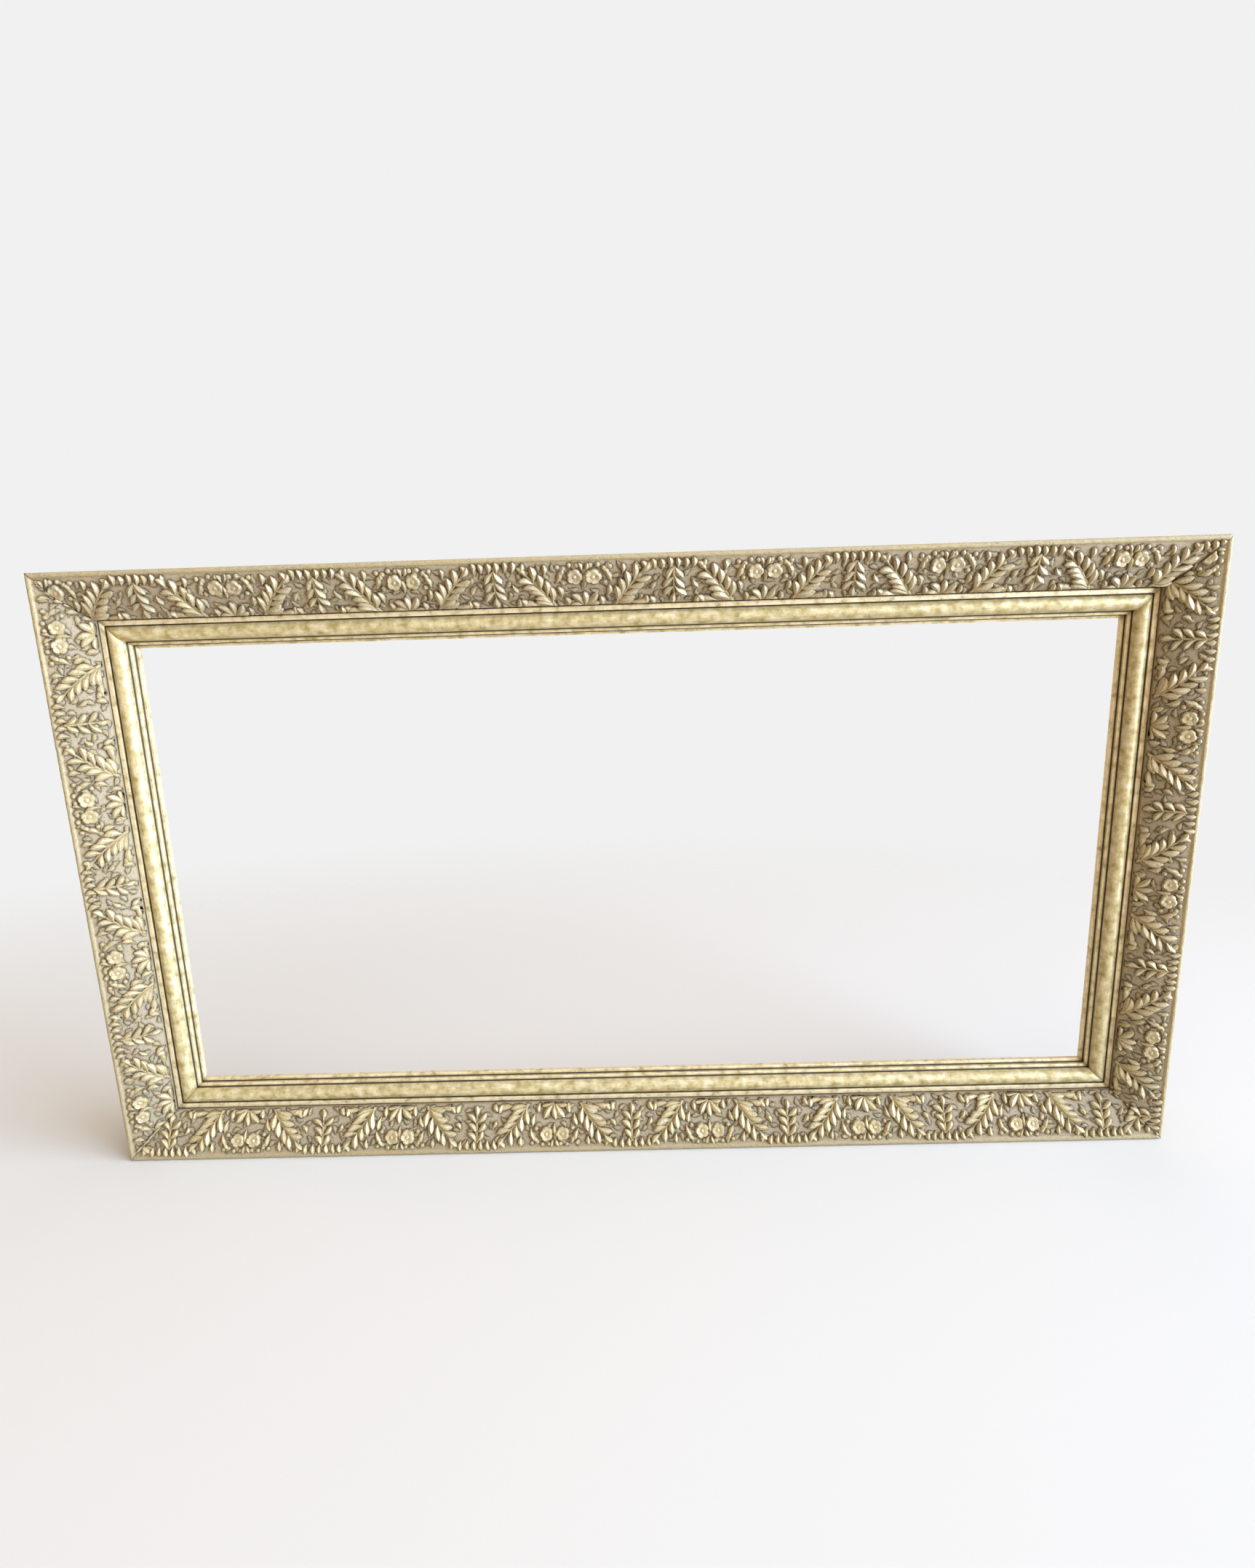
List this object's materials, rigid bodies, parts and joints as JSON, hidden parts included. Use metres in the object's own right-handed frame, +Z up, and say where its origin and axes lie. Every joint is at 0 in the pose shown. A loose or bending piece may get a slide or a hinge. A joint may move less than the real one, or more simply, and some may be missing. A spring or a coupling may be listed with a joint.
{
  "type": "gilded picture frame",
  "caption": "Landscape picture frame: deep mitred moulding with pressed leaf ornament round a gilt slip, open rebate, turn buttons and strap hangers on the back.",
  "frame": {"origin": "middle of the picture opening, in the plane of the wooden back, which lies along the wall", "axes": "+X to the right as seen from the front, +Z up, -Y out of the front face, +Y towards the wall"},
  "size_m": [1.16, 0.0665, 0.65],
  "materials": {
    "core": "aged softwood, bare on the back and toned ochre on the outer sides",
    "ornament": "pressed composition, pale gold leaf worn over a grey-brown ground, dark toning in the hollows",
    "slip": "burnished yellow gold leaf on gesso, rubbed and specked",
    "key": "hardwood feather, end grain at the corner",
    "brass": "aged plain brass",
    "steel": "dull wire"
  },
  "bodies": {
    "frame": {"rail_top": "core", "rail_bottom": "core", "stile_left": "core", "stile_right": "core", "ornament_top": "ornament", "ornament_bottom": "ornament", "ornament_left": "ornament", "ornament_right": "ornament", "slip_top": "slip", "slip_bottom": "slip", "slip_left": "slip", "slip_right": "slip", "corner_key_top_left": "key", "corner_key_top_right": "key", "corner_key_bottom_left": "key", "corner_key_bottom_right": "key", "brad_top_1": "steel", "brad_top_2": "steel", "brad_top_3": "steel", "brad_top_4": "steel", "brad_bottom_1": "steel", "brad_bottom_2": "steel", "brad_bottom_3": "steel", "brad_bottom_4": "steel", "brad_left_1": "steel", "brad_left_2": "steel", "brad_right_1": "steel", "brad_right_2": "steel", "button_screw_top_1": "brass", "button_screw_top_2": "brass", "button_screw_top_3": "brass", "button_screw_bottom_1": "brass", "button_screw_bottom_2": "brass", "button_screw_bottom_3": "brass", "button_screw_left_1": "brass", "button_screw_right_1": "brass", "strap_left": "brass", "strap_right": "brass", "strap_screw_left_1": "brass", "strap_screw_left_2": "brass", "strap_screw_right_1": "brass", "strap_screw_right_2": "brass"},
    "ring_left": {"d_ring_left": "brass"},
    "ring_right": {"d_ring_right": "brass"},
    "button_top_1": {"turn_button_top_1": "brass"},
    "button_top_2": {"turn_button_top_2": "brass"},
    "button_top_3": {"turn_button_top_3": "brass"},
    "button_bottom_1": {"turn_button_bottom_1": "brass"},
    "button_bottom_2": {"turn_button_bottom_2": "brass"},
    "button_bottom_3": {"turn_button_bottom_3": "brass"},
    "button_left_1": {"turn_button_left_1": "brass"},
    "button_right_1": {"turn_button_right_1": "brass"}
  },
  "joints": [
    {"name": "ring_left_swing", "type": "hinge", "parent": "frame", "child": "ring_left", "pos_m": [-0.56, 0.0033, 0.11], "axis": [1, 0, 0], "range_deg": [0, 180]},
    {"name": "ring_right_swing", "type": "hinge", "parent": "frame", "child": "ring_right", "pos_m": [0.56, 0.0033, 0.11], "axis": [1, 0, 0], "range_deg": [0, 180]},
    {"name": "button_top_1_turn", "type": "hinge", "parent": "frame", "child": "button_top_1", "pos_m": [-0.34, -0.004, 0.265], "axis": [0, 1, 0], "continuous": true},
    {"name": "button_top_2_turn", "type": "hinge", "parent": "frame", "child": "button_top_2", "pos_m": [0, -0.004, 0.265], "axis": [0, 1, 0], "continuous": true},
    {"name": "button_top_3_turn", "type": "hinge", "parent": "frame", "child": "button_top_3", "pos_m": [0.34, -0.004, 0.265], "axis": [0, 1, 0], "continuous": true},
    {"name": "button_bottom_1_turn", "type": "hinge", "parent": "frame", "child": "button_bottom_1", "pos_m": [0.34, -0.004, -0.265], "axis": [0, 1, 0], "continuous": true},
    {"name": "button_bottom_2_turn", "type": "hinge", "parent": "frame", "child": "button_bottom_2", "pos_m": [0, -0.004, -0.265], "axis": [0, 1, 0], "continuous": true},
    {"name": "button_bottom_3_turn", "type": "hinge", "parent": "frame", "child": "button_bottom_3", "pos_m": [-0.34, -0.004, -0.265], "axis": [0, 1, 0], "continuous": true},
    {"name": "button_left_1_turn", "type": "hinge", "parent": "frame", "child": "button_left_1", "pos_m": [-0.52, -0.004, 0], "axis": [0, 1, 0], "continuous": true},
    {"name": "button_right_1_turn", "type": "hinge", "parent": "frame", "child": "button_right_1", "pos_m": [0.52, -0.004, 0], "axis": [0, 1, 0], "continuous": true}
  ]
}
